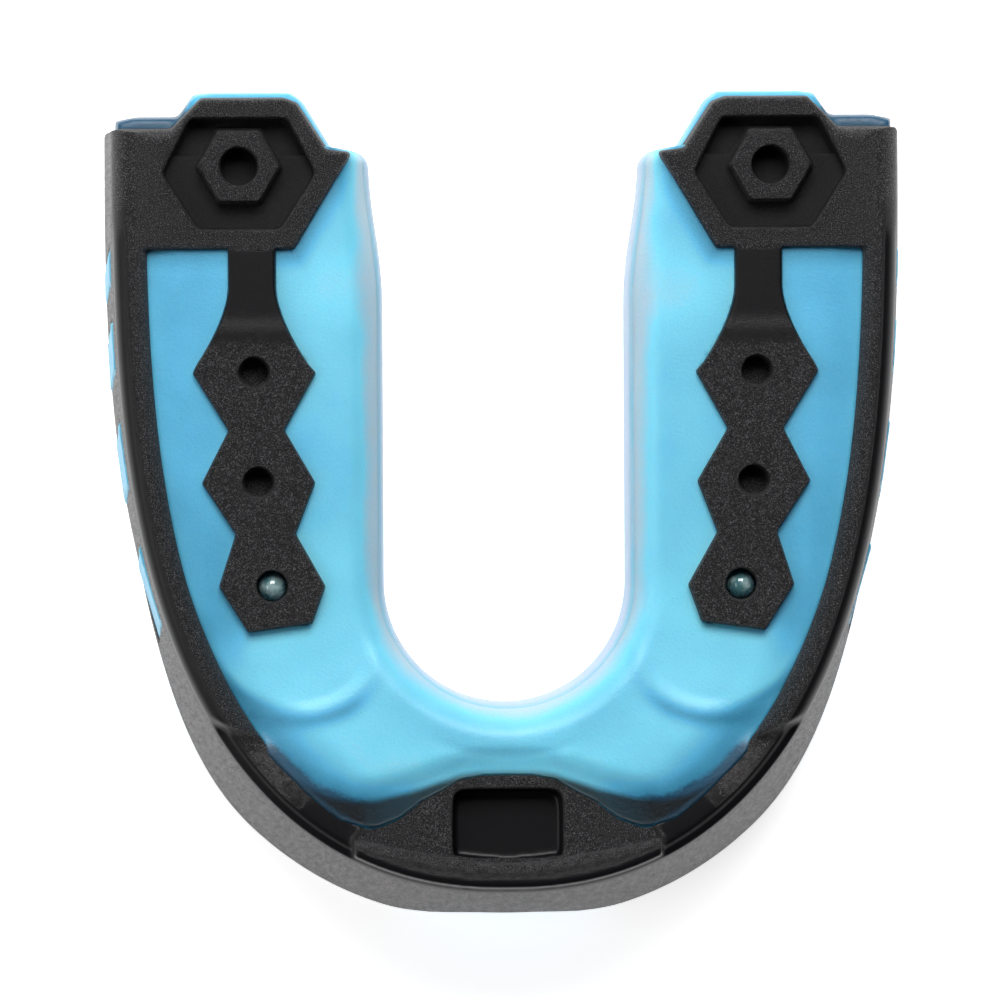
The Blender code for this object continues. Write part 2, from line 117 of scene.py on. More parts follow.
NECK_X = 20.3 * MM
NECK_HALF = 1.88 * MM
NECK_Y = (21.9 * MM, 17.4 * MM)
HEXES = (
    (20.15 * MM, 10.6 * MM, 4.9 * MM),
    (19.85 * MM, 1.8 * MM, 4.5 * MM),
    (18.8 * MM, -6.5 * MM, 4.2 * MM),
)
WAISTS = ((20.0 * MM, 6.0 * MM, 2.2 * MM), (19.3 * MM, -2.3 * MM, 2.35 * MM))
STRIP_END = (18.3 * MM, -10.15 * MM, 2.4 * MM)
STRIP_TOP_Z = 19.95 * MM
STRIP_BASE_Z = 17.0 * MM
STRIP_HOLE_R = 1.2 * MM
BLIND_Z = 17.8 * MM  # floor of the two blind holes
THROUGH_Z = 16.0 * MM

WINDOW_Y = (18.6 * MM, 12.2 * MM, 3.5 * MM, -7.0 * MM)
WINDOW_HALF = (1.5 * MM, 2.1 * MM, 2.7 * MM, 3.3 * MM)
WINDOW_Z = (5.5 * MM, 15.2 * MM)
WINDOW_SLANT = 1.6 * MM
WINDOW_PAD_D = -0.75 * MM
WINDOW_PAD_TILT = 0.65 * MM
LINER_BEND = 2.0 * MM

# Colours of the gel from its deepest to its milkiest, the two outermost stops first.
GEL_STOPS = (
    (0.0, (0.012, 0.075, 0.14)),
    (1.0, (0.45, 0.64, 0.75)),
    (0.1, (0.045, 0.26, 0.42)),
    (0.45, (0.115, 0.50, 0.76)),
    (0.62, (0.172, 0.59, 0.785)),
    (0.8, (0.21, 0.70, 0.90)),
)
PLUG_DARK = (0.10, 0.26, 0.28)
PLUG_PALE = (0.55, 0.74, 0.74)
LINGUAL_WALL_SHADE = (0.36, 0.47, 0.62)  # painted shade: the greyer, darker gel of the inner wall where it turns away at the inner edge

# Plans of the right-hand heel block and of what lies behind it, in mm.
HEEL_COLLAR = (
    (24.3, 32.6),
    (17.7, 32.6),
    (16.7, 32.2),
    (14.5, 28.8),
    (14.5, 26.0),
    (29.6, 26.0),
    (26.8, 30.1),
)
HEEL_BODY = ((12.5, 28.25), (12.5, 27.85), (16.9, 20.5), (30.5, 20.5), (30.9, 30.2), (26.7, 30.2))
HEEL_ROOM = (
    (12.75, 28.05),
    (12.75, 27.9),
    (17.0, 20.65),
    (34.0, 20.65),
    (34.0, 36.0),
    (16.9, 36.0),
    (16.9, 32.0),
    (14.7, 28.6),
)
TONGUE = (
    (24.9, 33.0),
    (23.8, 33.1),
    (17.2, 33.1),
    (16.3, 32.4),
    (14.0, 28.6),
    (13.4, 24.0),
    (29.5, 24.0),
    (28.4, 28.0),
)
CORNER_FLASH = ((31.1, 28.0), (31.15, 30.9), (29.6, 31.2), (26.5, 31.2), (25.0, 30.0), (26.0, 28.0))

# Plans about the centre of the recess, in mm.
RECESS = ((6.24, 0.0), (3.95, 4.5), (-3.95, 4.5), (-6.24, 0.0), (-3.35, -4.55), (3.35, -4.55))
INSERT = ((6.2, 0.0), (3.95, 4.5), (-3.95, 4.5), (-6.2, 0.0), (-3.35, -4.5), (3.35, -4.5))
INSERT_REAR_Y = 28.05 * MM
SHELF = (
    (-3.5, 1.45),
    (-2.2, 2.9),
    (-1.2, 3.3),
    (1.2, 3.3),
    (2.2, 2.9),
    (3.5, 1.45),
    (1.9, -3.05),
    (-1.9, -3.05),
)

# Rear edge of the black front floor, as its distance ahead of the origin at distances from the middle, in mm.
FLOOR_X = (0.0, 2.4, 3.6, 5.75, 7.2, 8.8, 10.5, 12.3, 14.3, 15.8, 17.1, 19.0, 20.6, 24.0)
FLOOR_AHEAD = (21.55, 21.6, 21.75, 22.4, 22.9, 23.3, 23.7, 23.85, 23.5, 22.8, 21.9, 20.0, 17.5, 12.0)

# Front edge of the gel film, as radii in mm at degrees ahead of sideways.
FILM_DEG = (30.0, 32.8, 33.2, 34.8, 42.9, 54.7, 59.3, 61.3, 65.0, 68.0, 76.3, 83.0, 90.0)
FILM_R = (23.9, 23.7, 24.2, 23.8, 23.5, 23.5, 22.95, 22.6, 21.1, 19.2, 16.5, 15.75, 15.6)

# Boxes in plan that the height fields cover, and the steps of their grids and of the skins' voxels.
FRONT_BOX = ((-21.5 * MM, -31.7 * MM), (21.5 * MM, -15.0 * MM))
HEEL_BOX = ((12.2 * MM, 19.9 * MM), (31.0 * MM, 32.9 * MM))
STRIP_BOX = ((14.0 * MM, -10.8 * MM), (28.0 * MM, 31.4 * MM))
TONGUE_BOX = ((13.0 * MM, 23.0 * MM), (31.6 * MM, 33.3 * MM))
FRAME_GRID = 0.12 * MM
FRAME_VOXEL = 0.17 * MM
STRIP_GRID = 0.11 * MM
TONGUE_GRID = 0.2 * MM
LINER_VOXEL = 0.25 * MM
FRAME_FACES = 150000
STRIP_FACES = 60000
LINER_FACES = 100000

RUBBER_DARK = (0.003, 0.003, 0.004)
# Light colours that paint the grain's glints into the black rubber, one for the frame and one for the strips.
FRAME_GLINT = (0.2, 0.195, 0.203)
STRIP_GLINT = (0.19, 0.185, 0.196)
SCUFFED = (0.15, 0.14, 0.143)
FLOOR_WHITE = 0.85
FLOOR_GLOW = 0.78
FLOOR_HALF = 1.5
HORIZON = 1.35  # strength of the sky's light at the horizon
ZENITH = 0.25

AIM = (0.0, 0.0, 0.015)
CAMERA_DISTANCE = 600.0 * MM
CAMERA_SIDE = -14.0 * MM
CAMERA_ROLL = math.radians(0.3)
CAMERA_AIM = (-0.5 * MM, 0.3 * MM, CREST_Z)
VIEW_WIDTH = 80.1 * MM


# ---------------------------------------------------------------- curves of the arch


def smooth(value):
    """Eases from 0 to 1 as value goes from 0 to 1."""
    v = np.clip(value, 0.0, 1.0)
    return v * v * (3.0 - 2.0 * v)


def edge_half(y):
    """Half width of the bite edge at y."""
    t = np.clip((EDGE_REAR - y) / (EDGE_REAR - EDGE_FRONT), 0.0, 1.0)
    return EDGE_HALF * (1.0 - t**EDGE_Q) ** (1.0 / EDGE_P)


def edge_radius(angle):
    """Distance from the arch's centre to the bite edge, at angles ahead of sideways."""
    near, far = np.full_like(angle, INNER_HALF), np.full_like(angle, 2.0 * EDGE_HALF)
    for _ in range(50):
        middle = (near + far) / 2.0
        y = ARCH_Y - middle * np.sin(angle)
        inside = (y > EDGE_FRONT) & (middle * np.cos(angle) < edge_half(y))
        near, far = np.where(inside, middle, near), np.where(inside, far, middle)
    return near


def arch(rear, legs, fronts):
    """Section lines round the arch from the right heel to the left one."""
    y = rear + (ARCH_Y - rear) * np.linspace(0.0, 1.0, legs, endpoint=False) ** 1.4
    share = smooth((y - HEEL_FROM_Y) / (LINER_REAR - HEEL_FROM_Y))
    a = np.linspace(0.0, math.pi / 2.0, fronts + 1)
    r = edge_radius(a)
    x = np.concatenate([edge_half(y), r * np.cos(a)])
    xi = np.concatenate([INNER_HALF + INNER_SPREAD * share, INNER_HALF * np.cos(a)])
    yi = np.concatenate([y - HEEL_SLANT * share, ARCH_Y - INNER_HALF * np.sin(a)])
    y = np.concatenate([y, ARCH_Y - r * np.sin(a)])
    width = np.hypot(xi - x, yi - y)
    nx, ny = (xi - x) / width, (yi - y) / width
    corner = np.clip((y - rear) / CORNER_R + 1.0, 0.0, 1.0)
    width = width - CORNER_R * (1.0 - np.sqrt(1.0 - corner**2))
    steps = np.hypot(np.diff(x), np.diff(y))
    along = np.concatenate([np.cumsum(steps[::-1])[::-1], [0.0]])

    def both(values, sign=1.0):
        """The right half's values, followed by those of the left half."""
        return np.concatenate([values, sign * values[-2::-1]])

    return SimpleNamespace(
        x=both(x, -1.0),
        y=both(y),
        nx=both(nx, -1.0),
        ny=both(ny),
        width=both(width),
        along=both(along),
    )


def lean(s):
    """How far the labial wall leans out at its rim."""
    return LEAN_SIDE + (LEAN_FRONT - LEAN_SIDE) * smooth((45.0 * MM - s.along) / (25.0 * MM))


def rim_z(s):
    """Height of the labial rim, with the frenum notch, the relief and the raised heel."""
    notch = FRENUM[0] * (1.0 - smooth((s.along - 1.5 * MM) / (FRENUM[1] - 1.5 * MM)))
    middle = (BUCCAL[1] + BUCCAL[2]) / 2.0
    relief = BUCCAL[0] * smooth(1.0 - np.abs(s.along - middle) / (BUCCAL[2] - middle))
    return notch + relief + HEEL_RISE[0] * (1.0 - smooth((EDGE_REAR - s.y) / HEEL_RISE[1]))


def wall_d(s, z):
    """The labial wall's outer face at height z."""
    share = 1.0 - z / EDGE_Z
    return -lean(s) * share - WALL_BULGE * np.sin(math.pi * share)


def front_degrees(x, y):
    """Angle ahead of sideways round the arch's centre, in degrees."""
    return np.degrees(np.arctan2(ARCH_Y - y, np.abs(x)))


# ---------------------------------------------------------------- distance fields in plan


def inside_polygon(x, y, corners, soft=0.0):
    """Signed distance to a convex polygon, positive inside, with its corners softened."""
    area = sum(a[0] * b[1] - b[0] * a[1] for a, b in zip(corners, corners[1:] + corners[:1]))
    turn = 1.0 if area > 0 else -1.0
    sides = []
    for (ax, ay), (bx, by) in zip(corners, corners[1:] + corners[:1]):
        length = math.hypot(bx - ax, by - ay)
        sides.append(turn * ((bx - ax) * (y - ay) - (by - ay) * (x - ax)) / length)
    sides = np.stack(sides)
    if not soft:
        return sides.min(axis=0)
    low = sides.min(axis=0)
    return low - soft * np.log(np.exp(-(sides - low) / soft).sum(axis=0))


def edge_round(depth, radius):
    """How far a rounded edge and its steep wall fall below the top, by the distance inside the outline."""
    inner = np.clip(radius - depth, 0.0, radius)
    return radius - np.sqrt(radius**2 - inner**2) - WALL_DRAFT * np.minimum(depth, 0.0)


def in_mm(plan, centre=(0.0, 0.0)):
    """A plan given in mm about a centre, in metres."""
    return [(centre[0] + x * MM, centre[1] + y * MM) for x, y in plan]


# ---------------------------------------------------------------- mesh helpers


def mesh_object(name, verts, faces):
    """Object on the given faces, turned outward."""
    mesh = bpy.data.meshes.new(name)
    mesh.from_pydata(verts.tolist(), [], faces)
    bm = bmesh.new()
    bm.from_mesh(mesh)
    bmesh.ops.recalc_face_normals(bm, faces=bm.faces)
    if bm.calc_volume(signed=True) < 0.0:
        bmesh.ops.reverse_faces(bm, faces=bm.faces)
    bm.to_mesh(mesh)
    bm.free()
    return link(name, mesh)


def link(name, mesh):
    """Object on a mesh, in the scene."""
    ob = bpy.data.objects.new(name, mesh)
    bpy.context.scene.collection.objects.link(ob)
    return ob


def loft(name, s, d, z):
    """Closed solid through the profiles d, z, one row for each section line."""
    n, m = d.shape
    x = s.x[:, None] + s.nx[:, None] * d
    y = s.y[:, None] + s.ny[:, None] * d
    verts = np.stack([x, y, z], axis=2).reshape(-1, 3)
    faces = []
    for i in range(n - 1):
        a, b = i * m, (i + 1) * m
        faces += [(a + j, b + j, b + (j + 1) % m, a + (j + 1) % m) for j in range(m)]
    faces += [tuple(range(m)), tuple(range((n - 1) * m, n * m))]
    return mesh_object(name, verts, faces)


def relief(name, box, step, height, base):
    """Closed solid under height(x, y) over a box in plan, cut off flat at base."""
    (x0, y0), (x1, y1) = box
    nx, ny = int(round((x1 - x0) / step)) + 1, int(round((y1 - y0) / step)) + 1
    x, y = np.meshgrid(np.linspace(x0, x1, nx), np.linspace(y0, y1, ny), indexing="ij")
    verts = np.stack([x, y, height(x, y)], axis=2).reshape(-1, 3)
    corner = (np.arange(nx - 1)[:, None] * ny + np.arange(ny - 1)[None, :]).reshape(-1)
    faces = np.stack([corner, corner + ny, corner + ny + 1, corner + 1], axis=1)
    mesh = bpy.data.meshes.new(name)
    mesh.from_pydata(verts.tolist(), [], faces.tolist())
    bm = bmesh.new()
    bm.from_mesh(mesh)
    everything = bm.verts[:] + bm.edges[:] + bm.faces[:]
    bmesh.ops.bisect_plane(bm, geom=everything, plane_co=(0, 0, base), plane_no=(0, 0, 1), clear_inner=True)
    bmesh.ops.triangle_fill(bm, use_beauty=True, edges=[e for e in bm.edges if e.is_boundary])
    bmesh.ops.recalc_face_normals(bm, faces=bm.faces)
    bm.to_mesh(mesh)
    bm.free()
    return link(name, mesh)


def prism(name, outline, low, high):
    """Upright solid on a plan outline."""
    count = len(outline)
    verts = np.array([(x, y, z) for z in (low, high) for x, y in outline])
    faces = [tuple(range(count)), tuple(range(count, 2 * count))]
    faces += [(i, (i + 1) % count, count + (i + 1) % count, count + i) for i in range(count)]
    return mesh_object(name, verts, faces)


def mirrored(ob, name):
    """Twin of an object on the other side of the middle plane."""
    mesh = ob.data.copy()
    mesh.transform(Matrix.Scale(-1.0, 4, Vector((1.0, 0.0, 0.0))))
    mesh.flip_normals()
    return link(name, mesh)


def evaluated(ob):
    """Replaces an object's mesh by its modifiers' result."""
    bpy.context.view_layer.update()
    mesh = bpy.data.meshes.new_from_object(ob.evaluated_get(bpy.context.evaluated_depsgraph_get()))
    ob.modifiers.clear()
    ob.data = mesh
    return ob


def cut(target, cutters):
    """Subtracts the cutters and removes them."""
    for cutter in cutters:
        change = target.modifiers.new("cut", "BOOLEAN")
        change.operation = "DIFFERENCE"
        change.object = cutter
        change.solver = "EXACT"
    evaluated(target)
    for cutter in cutters:
        bpy.data.objects.remove(cutter)


def fuse(name, objects, voxel, rounds, faces):
    """One moulded skin over several overlapping solids, with its edges rounded."""
    bm = bmesh.new()
    for ob in objects:
        bm.from_mesh(ob.data)
    mesh = bpy.data.meshes.new(name)
    bm.to_mesh(mesh)
    bm.free()
    for ob in objects:
        bpy.data.objects.remove(ob)
    ob = link(name, mesh)
    skin = ob.modifiers.new("skin", "REMESH")
    skin.mode = "VOXEL"
    skin.voxel_size = voxel
    relax = ob.modifiers.new("relax", "SMOOTH")
    relax.factor = 0.5
    relax.iterations = rounds
    evaluated(ob)
    if len(ob.data.polygons) * 2 > faces:
        thin = ob.modifiers.new("thin", "DECIMATE")
        thin.ratio = faces / (len(ob.data.polygons) * 2.0)
        evaluated(ob)
    keep_largest(ob)
    ob.data.shade_smooth()
    return ob


def keep_largest(ob):
    """Drops loose scraps of a skin."""
    bm = bmesh.new()
    bm.from_mesh(ob.data)
    left, islands = set(bm.verts), []
    while left:
        stack, island = [left.pop()], []
        while stack:
            v = stack.pop()
            island.append(v)
            for e in v.link_edges:
                u = e.other_vert(v)
                if u in left:
                    left.remove(u)
                    stack.append(u)
        islands.append(island)
    islands.sort(key=len)
    for island in islands[:-1]:
        bmesh.ops.delete(bm, geom=island, context="VERTS")
    bm.to_mesh(ob.data)
    bm.free()


def paint(ob, name, values):
    """Keeps a number on each vertex, which the material reads."""
    layer = ob.data.attributes.new(name, "FLOAT", "POINT")
    layer.data.foreach_set("value", np.ascontiguousarray(values, dtype=np.float32))


def points(ob):
    """X, y and z of the vertices."""
    found = np.empty(len(ob.data.vertices) * 3)
    ob.data.vertices.foreach_get("co", found)
    return found.reshape(-1, 3).T


# ---------------------------------------------------------------- black frame


def wall_profile(s):
    """Labial wall and the band that caps it."""
    rim = rim_z(s)[:, None]
    c = SimpleNamespace(along=s.along[:, None])
    rise = np.linspace(0.0, 1.0, 12)
    z_out = rim + 0.5 * MM + (EDGE_Z - 0.3 * MM - rim - 0.5 * MM) * rise
    outer = (wall_d(c, z_out), z_out)
    t = np.linspace(0.0, 1.0, 22)[None, :]
    d_top = np.repeat(BAND * (0.02 + 0.98 * t), len(s.x), axis=0)
    top = (d_top, band_z(s, d_top))
    z_in = BAND_UNDER_Z + (rim + 0.6 * MM - BAND_UNDER_Z) * np.linspace(0.0, 1.0, 9)
    inner = (wall_d(c, z_in) + WALL, z_in)
    turn = np.linspace(0.0, math.pi, 7)[None, 1:-1]
    middle = wall_d(c, rim) + WALL / 2.0
    foot = (middle + WALL / 2.0 * np.cos(turn), rim + 0.5 * MM * (1.0 - np.sin(turn)))
    d = np.concatenate([outer[0], top[0], inner[0], foot[0]], axis=1)
    z = np.concatenate([outer[1], top[1], inner[1], foot[1]], axis=1)
    return d, z


def band_z(s, d):
    """Top of the band: a raised bead along the legs, and a low ledge round the front."""
    half = BAND / 2.0
    bead = np.sqrt(np.clip(1.0 - ((d - half) / half) ** 2, 0.0, 1.0))
    foot = np.where(d < half, EDGE_Z, 18.6 * MM)
    high = foot + (CREST_Z - foot) * bead
    low = EDGE_Z + 0.1 * MM + (FRONT_Z - EDGE_Z - 0.1 * MM) * smooth((d - 0.45 * MM) / (0.5 * MM))
    x = s.x[:, None] + s.nx[:, None] * d
    y = s.y[:, None] + s.ny[:, None] * d
    ends = BAND_END_DEG[0] + (BAND_END_DEG[1] - BAND_END_DEG[0]) * d / BAND
    share = smooth((ends + 1.2 - front_degrees(x, y)) / 2.8)
    return low + (high - low) * share


def heel_depth(x, y):
    """Distance inside the plan of a right-hand heel block."""
    return np.maximum(inside_polygon(x, y, in_mm(HEEL_COLLAR)), inside_polygon(x, y, in_mm(HEEL_BODY)))


def heel_height(x, y):
    """Top of a right-hand heel block, with its hexagonal recess."""
    corner = smooth((y - 27.5 * MM) / (2.0 * MM)) * smooth((x - 25.5 * MM) / (2.0 * MM))
    return HEEL_TOP_Z - edge_round(heel_depth(x, y), 0.4 * MM + 0.8 * MM * corner) - recess_depth(x, y)


def recess_depth(x, y):
    """How far the recess of a right-hand heel block is sunk."""
    inside = inside_polygon(x, y, in_mm(RECESS, (HEEL_X, RECESS_Y)), 0.12 * MM)
    return (HEEL_TOP_Z - RECESS_Z) * smooth((inside + 0.05 * MM) / (0.4 * MM))


def floor_rear(x):
    """Y of the rear edge of the black front floor, under the gel film."""
    return -np.interp(np.abs(x) / MM, FLOOR_X, FLOOR_AHEAD) * MM


def front_height(x, y):
    """Top of the front floor, with the ridge along its front and the port."""
    radial = edge_radius_at(x, y) - np.hypot(x, y - ARCH_Y)
    degrees = front_degrees(x, y)
    valley = smooth((degrees - VALLEY_DEG[0]) / 2.0) * smooth((VALLEY_DEG[1] + 1.0 - degrees) / 1.0)
    inside = np.minimum(np.minimum(radial - 0.9 * MM, floor_rear(x) - y), 21.0 * MM - np.abs(x))
    floor = FLOOR_TOP_Z - 0.3 * MM * valley - edge_round(inside, 0.25 * MM)
    pad = smooth((7.3 * MM - np.abs(x)) / (0.25 * MM)) * 0.15 * MM
    line = -28.8 * MM + 2.0 * MM * (np.abs(x) / RIDGE_HALF) ** 1.5
    along = np.minimum((line - y), RIDGE_HALF - np.abs(x))
    ridge = RIDGE_Z - edge_round(np.minimum(along, radial - 0.35 * MM), 0.3 * MM)
    front, rear = PORT_Y
    corners = [(PORT_HALF, front), (PORT_HALF, rear), (-PORT_HALF, rear), (-PORT_HALF, front)]
    port = inside_polygon(x, y, corners, 0.45 * MM)
    top = floor + pad
    sunk = top - (top - PORT_Z) * smooth((port + 0.1 * MM) / (0.35 * MM))
    return np.maximum(sunk, ridge)


def edge_radius_at(x, y):
    """Distance from the arch's centre to the bite edge, in the direction of a point."""
    return edge_radius(np.radians(np.clip(front_degrees(x, y), 0.0, 90.0)))


def box_at(name, point, inward, half, heights, depths, slant, tilt=0.0):
    """Box square to a wall at a point, its top shifted along the wall by slant and in by tilt."""
    tangent = (-inward[1], inward[0])
    bm = bmesh.new()
    bmesh.ops.create_cube(bm, size=1.0)
    for v in bm.verts:
        t = 2.0 * half * v.co.x + slant * v.co.z
        d = depths[0] + (depths[1] - depths[0]) * (v.co.y + 0.5) + tilt * v.co.z
        z = heights[0] + (heights[1] - heights[0]) * (v.co.z + 0.5)
        v.co = (point[0] + tangent[0] * t + inward[0] * d, point[1] + tangent[1] * t + inward[1] * d, z)
    verts = np.array([v.co[:] for v in bm.verts])
    faces = [tuple(v.index for v in f.verts) for f in bm.faces]
    bm.free()
    return mesh_object(name, verts, faces)


def window_boxes(grow, depths, tilt=0.0):
    """Boxes on the labial wall's windows, a little larger by grow."""
    heights = (WINDOW_Z[0] - grow, WINDOW_Z[1] + grow)
    found = []
    for side in (1, -1):
        for y, half in zip(WINDOW_Y, WINDOW_HALF):
            slope = (edge_half(y + MM) - edge_half(y - MM)) / (2.0 * MM)
            length = math.hypot(1.0, slope)
            inward = (-side / length, slope / length)
            point = (side * edge_half(y), y)
            slant = -side * WINDOW_SLANT
            found.append(box_at("window", point, inward, half + grow, heights, depths, slant, tilt))
    return found


def make_frame():
    """Frame's skin: windowed wall and band, front floor and heel blocks."""
    s = arch(EDGE_REAR, 70, 110)
    wall = loft("wall", s, *wall_profile(s))
    cut(wall, window_boxes(0.0, (-4.0 * MM, WALL + 1.2 * MM)))
    front = relief("front", FRONT_BOX, FRAME_GRID, front_height, BLOCK_BASE_Z)
    heel = relief("heel", HEEL_BOX, FRAME_GRID, heel_height, BLOCK_BASE_Z)
    other = mirrored(heel, "heel_left")
    return fuse("frame_skin", [wall, front, heel, other], FRAME_VOXEL, 4, FRAME_FACES)


# ---------------------------------------------------------------- strips


def strip_half(y):
    """Centre and half width of the strip's chain at y."""
    stops = [(NECK_X, NECK_Y[0], NECK_HALF), (NECK_X, NECK_Y[1], NECK_HALF)]
    for share in np.linspace(0.1, 0.9, 9):
        yy = NECK_Y[1] + (HEXES[0][1] - NECK_Y[1]) * share
        stops.append((NECK_X, yy, NECK_HALF + (HEXES[0][2] - NECK_HALF) * share**1.6))
    for hexagon, waist in zip(HEXES, WAISTS + (STRIP_END,)):
        stops += [hexagon, waist]
    x, yy, half = np.array(stops[::-1]).T
    return np.interp(y, yy, x), np.interp(y, yy, half)


def strip_height(x, y):
    """Top of a right-hand strip: chain, neck, plate in the recess, and boss."""
    middle, half = strip_half(y)
    side = (half - np.abs(x - middle)) * 0.8
    end = STRIP_END[1] + 0.14 * (STRIP_END[0] + STRIP_END[2] - x)
    chain = np.minimum(np.minimum(side, y - end), NECK_Y[0] - y)
    top = STRIP_TOP_Z - 0.15 * MM * smooth((y - 20.5 * MM) / MM) - edge_round(chain, 0.16 * MM)
    for hx, hy, _ in HEXES:
        r = np.hypot(x - hx, y - hy)
        deep = BLIND_Z if hy > HEXES[-1][1] else THROUGH_Z
        top = top - np.maximum(top - deep, 0.0) * smooth((STRIP_HOLE_R + 0.1 * MM - r) / (0.2 * MM))
    return np.maximum(top, insert_height(x, y))


def insert_height(x, y):
    """Top of the insert plate, with the shelf and the hexagonal boss on it."""
    plate = inside_polygon(x, y, in_mm(INSERT, (HEEL_X, RECESS_Y)))
    plate = np.minimum(plate, INSERT_REAR_Y - y)
    shelf = inside_polygon(x, y, in_mm(SHELF, (HEEL_X, RECESS_Y)), 0.1 * MM)
    z = INSERT_Z - edge_round(plate, 0.15 * MM)
    z = np.maximum(z, INSERT_Z + 0.1 * MM - edge_round(shelf, 0.15 * MM))
    turns = [math.radians(60.0 * k) for k in range(6)]
    boss = [(HEEL_X + BOSS_R * math.cos(a), BOSS_Y + BOSS_R * math.sin(a)) for a in turns]
    boss = inside_polygon(x, y, boss, 0.08 * MM)
    top = BOSS_TOP_Z - edge_round(np.maximum(boss, 0.0), 0.12 * MM)
    z = np.maximum(z, top + np.minimum(boss, 0.0) * BOSS_DRAFT)
    r = np.hypot(x - HEEL_X, y - BOSS_Y)
    z = z - np.maximum(z - BOSS_HOLE_Z, 0.0) * smooth((BOSS_HOLE_R + 0.1 * MM - r) / (0.25 * MM))
    web = np.minimum(NECK_HALF - np.abs(x - NECK_X), np.minimum(y - 20.0 * MM, 23.0 * MM - y))
    return np.maximum(z, BOSS_HOLE_Z - edge_round(web, 0.1 * MM))


def make_strips():
    """Right-hand strip and its mirror image."""
    body = relief("strip", STRIP_BOX, STRIP_GRID, strip_height, STRIP_BASE_Z)
    right = fuse("strip_right", [body], STRIP_GRID, 3, STRIP_FACES)
    return right, mirrored(right, "strip_left")


# ---------------------------------------------------------------- gel


def pad_start(s):
    """Distance from the bite edge to the gel's outer edge, which runs as a film over the front floor."""
    degrees = front_degrees(s.x, s.y)
    radial = edge_radius_at(s.x, s.y)
    film = film_radius(degrees)
    share = smooth((degrees - 33.0) / 3.0)
    return (BAND - 0.2 * MM) * (1.0 - share) + (radial - film) * share


def film_radius(degrees):
    """Distance of the film's edge from the arch's centre."""
    return np.interp(degrees, FILM_DEG, FILM_R) * MM


def pad_profile(s):
    """Sections of the gel pad, over its flat underside."""
    start = pad_start(s)[:, None]
    end = (s.width - LINGUAL_INSET - 0.3 * MM)[:, None]
    v = 0.5 - 0.5 * np.cos(np.linspace(0.0, math.pi, 60))[None, :]
    d = start + (end - start) * v
    z = pad_z(s, d, start, end)
    low = np.concatenate([end - 0.05 * MM, (start + end) / 2.0, start + 0.05 * MM], axis=1)
    under = np.full_like(low, LINER_Z - 0.2 * MM)
    return np.concatenate([d, low], axis=1), np.concatenate([z, under], axis=1)


def pad_z(s, d, start, end):
    """Top of the gel: edges rolled over, a shallow basin round each strip, and a film in front."""
    x = s.x[:, None] + s.nx[:, None] * d
    y = s.y[:, None] + s.ny[:, None] * d
    degrees = front_degrees(x, y)
    front = smooth((degrees - 20.0) / 25.0)
    top = PAD_Z + 0.25 * MM * smooth((d - start) / (3.0 * MM)) + 0.35 * MM * front
    top = top - 2.2 * MM * (1.0 - np.clip((end - d) / (2.6 * MM), 0.0, 1.0)) ** 2.2
    top = top - BASIN_DEPTH * basin(x, y)
    top = top - 0.6 * MM * labial_slope(x, y) * (1.0 - basin(x, y))
    ring = np.hypot(x, y - ARCH_Y) - 14.0 * MM
    top = top - 0.1 * MM * np.exp(-((ring / (0.5 * MM)) ** 2)) * smooth((degrees - 60.0) / 15.0)
    over = smooth((floor_rear(x) - y + 2.4 * MM) / (2.4 * MM)) * smooth((degrees - 30.0) / 6.0)
    bead = 0.04 * MM * np.exp(-(((d - start - 0.2 * MM) / (0.16 * MM)) ** 2))
    top = top + (FLOOR_TOP_Z + 0.2 * MM - top) * over + bead * over
    lip = 0.3 * MM
    return top - 0.5 * lip * (1.0 - smooth((d - start) / lip))


def gel_inset(x, y):
    """Distance inside the gel's labial edge."""
    degrees = np.clip(front_degrees(x, y), 0.0, 90.0)
    reach = np.hypot(x, y - ARCH_Y)
    front = np.minimum(film_radius(degrees), edge_radius(np.radians(degrees)) - BAND) - reach
    return np.where(y > ARCH_Y, edge_half(y) - BAND - np.abs(x), front)


def labial_slope(x, y):
    """1 where the gel falls towards the front teeth's labial side, 0 on the flat of it."""
    degrees = front_degrees(x, y)
    sides = smooth((degrees - 4.0) / 16.0) * (1.0 - smooth((degrees - 48.0) / 14.0))
    return sides * (1.0 - smooth(gel_inset(x, y) / (4.6 * MM)))


def basin_reach(x, y):
    """Distance from the basin's centre line, as a share of the way to its front edge."""
    ahead = np.minimum(y - BASIN_CENTRE[1], 0.0)
    return np.hypot((np.abs(x) - BASIN_CENTRE[0]) / BASIN_REACH[0], ahead / BASIN_REACH[1])


def basin(x, y):
    """1 in the shallow basin round a strip, 0 outside it."""
    inner = smooth((np.abs(x) - 9.8 * MM) / (2.6 * MM))
    return smooth((1.05 - basin_reach(x, y)) / 0.2) * inner * smooth((4.0 * MM - y) / (14.0 * MM))


def make_pad():
    """Gel pad, cut away for the heel blocks and the strips' chains."""
    s = arch(LINER_REAR, 90, 130)
    pad = loft("pad", s, *pad_profile(s))
    room = in_mm(HEEL_ROOM)
    stations = [STRIP_END[1] + 0.5 * MM, 14.0 * MM, 16.4 * MM, 21.0 * MM]
    ys = np.sort(stations + [place[1] for place in HEXES + WAISTS])
    middle, half = strip_half(ys)
    half = half - 0.25 * MM
    chain = list(zip(middle - half, ys)) + list(zip(middle + half, ys))[::-1]
    cutters = []
    for name, plan, low in (("heel", room, HEEL_CUT_Z), ("chain", chain, CHAIN_CUT_Z)):
        cutters += [prism(name, [(side * x, y) for x, y in plan], low, CUT_TOP_Z) for side in (1, -1)]
    cut(pad, cutters)
    pad.data.shade_smooth()
    return pad


